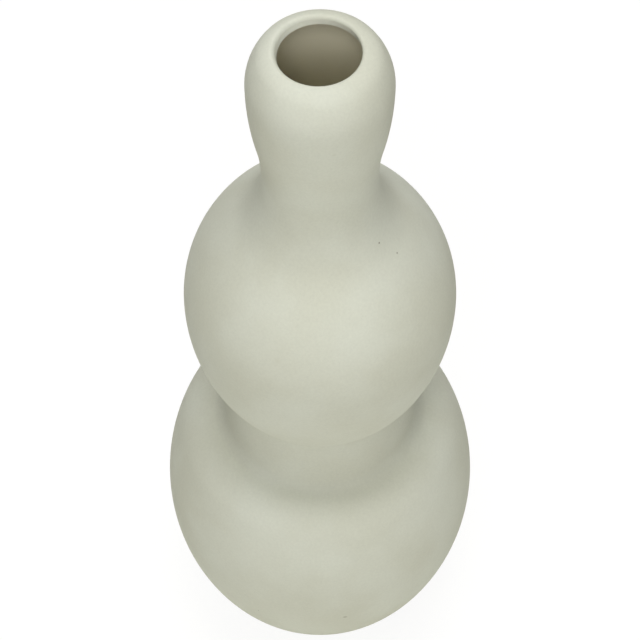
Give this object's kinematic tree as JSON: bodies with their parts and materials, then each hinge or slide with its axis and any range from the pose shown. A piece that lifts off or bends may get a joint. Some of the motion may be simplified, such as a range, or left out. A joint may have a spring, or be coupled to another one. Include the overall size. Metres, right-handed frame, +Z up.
{
  "type": "gourd vase",
  "caption": "Tall stoneware gourd vase: stacked bulbs that taper to a slim neck and a bud-shaped mouth for flower stems, on a low foot ring.",
  "frame": {"origin": "centre of the foot, on the surface that the vase stands on", "axes": "+Z up along the vase's axis, towards the mouth; X and Y are alike, because the vase is round"},
  "size_m": [0.108, 0.108, 0.3],
  "materials": {
    "stoneware": "matte, dry engobe over stoneware",
    "slip": "matte, fired slip under the same engobe",
    "bare_clay": "unglazed, wiped foot",
    "liner_glaze": "satin liner glaze"
  },
  "bodies": {
    "root": {"foot_ring": "bare_clay", "base_slab": "stoneware", "base_luting": "slip", "lower_bulb": "stoneware", "waist_luting": "slip", "middle_bulb": "stoneware", "neck_luting": "slip", "mouth_bulb": "stoneware", "inner_glaze": "liner_glaze"}
  },
  "joints": []
}
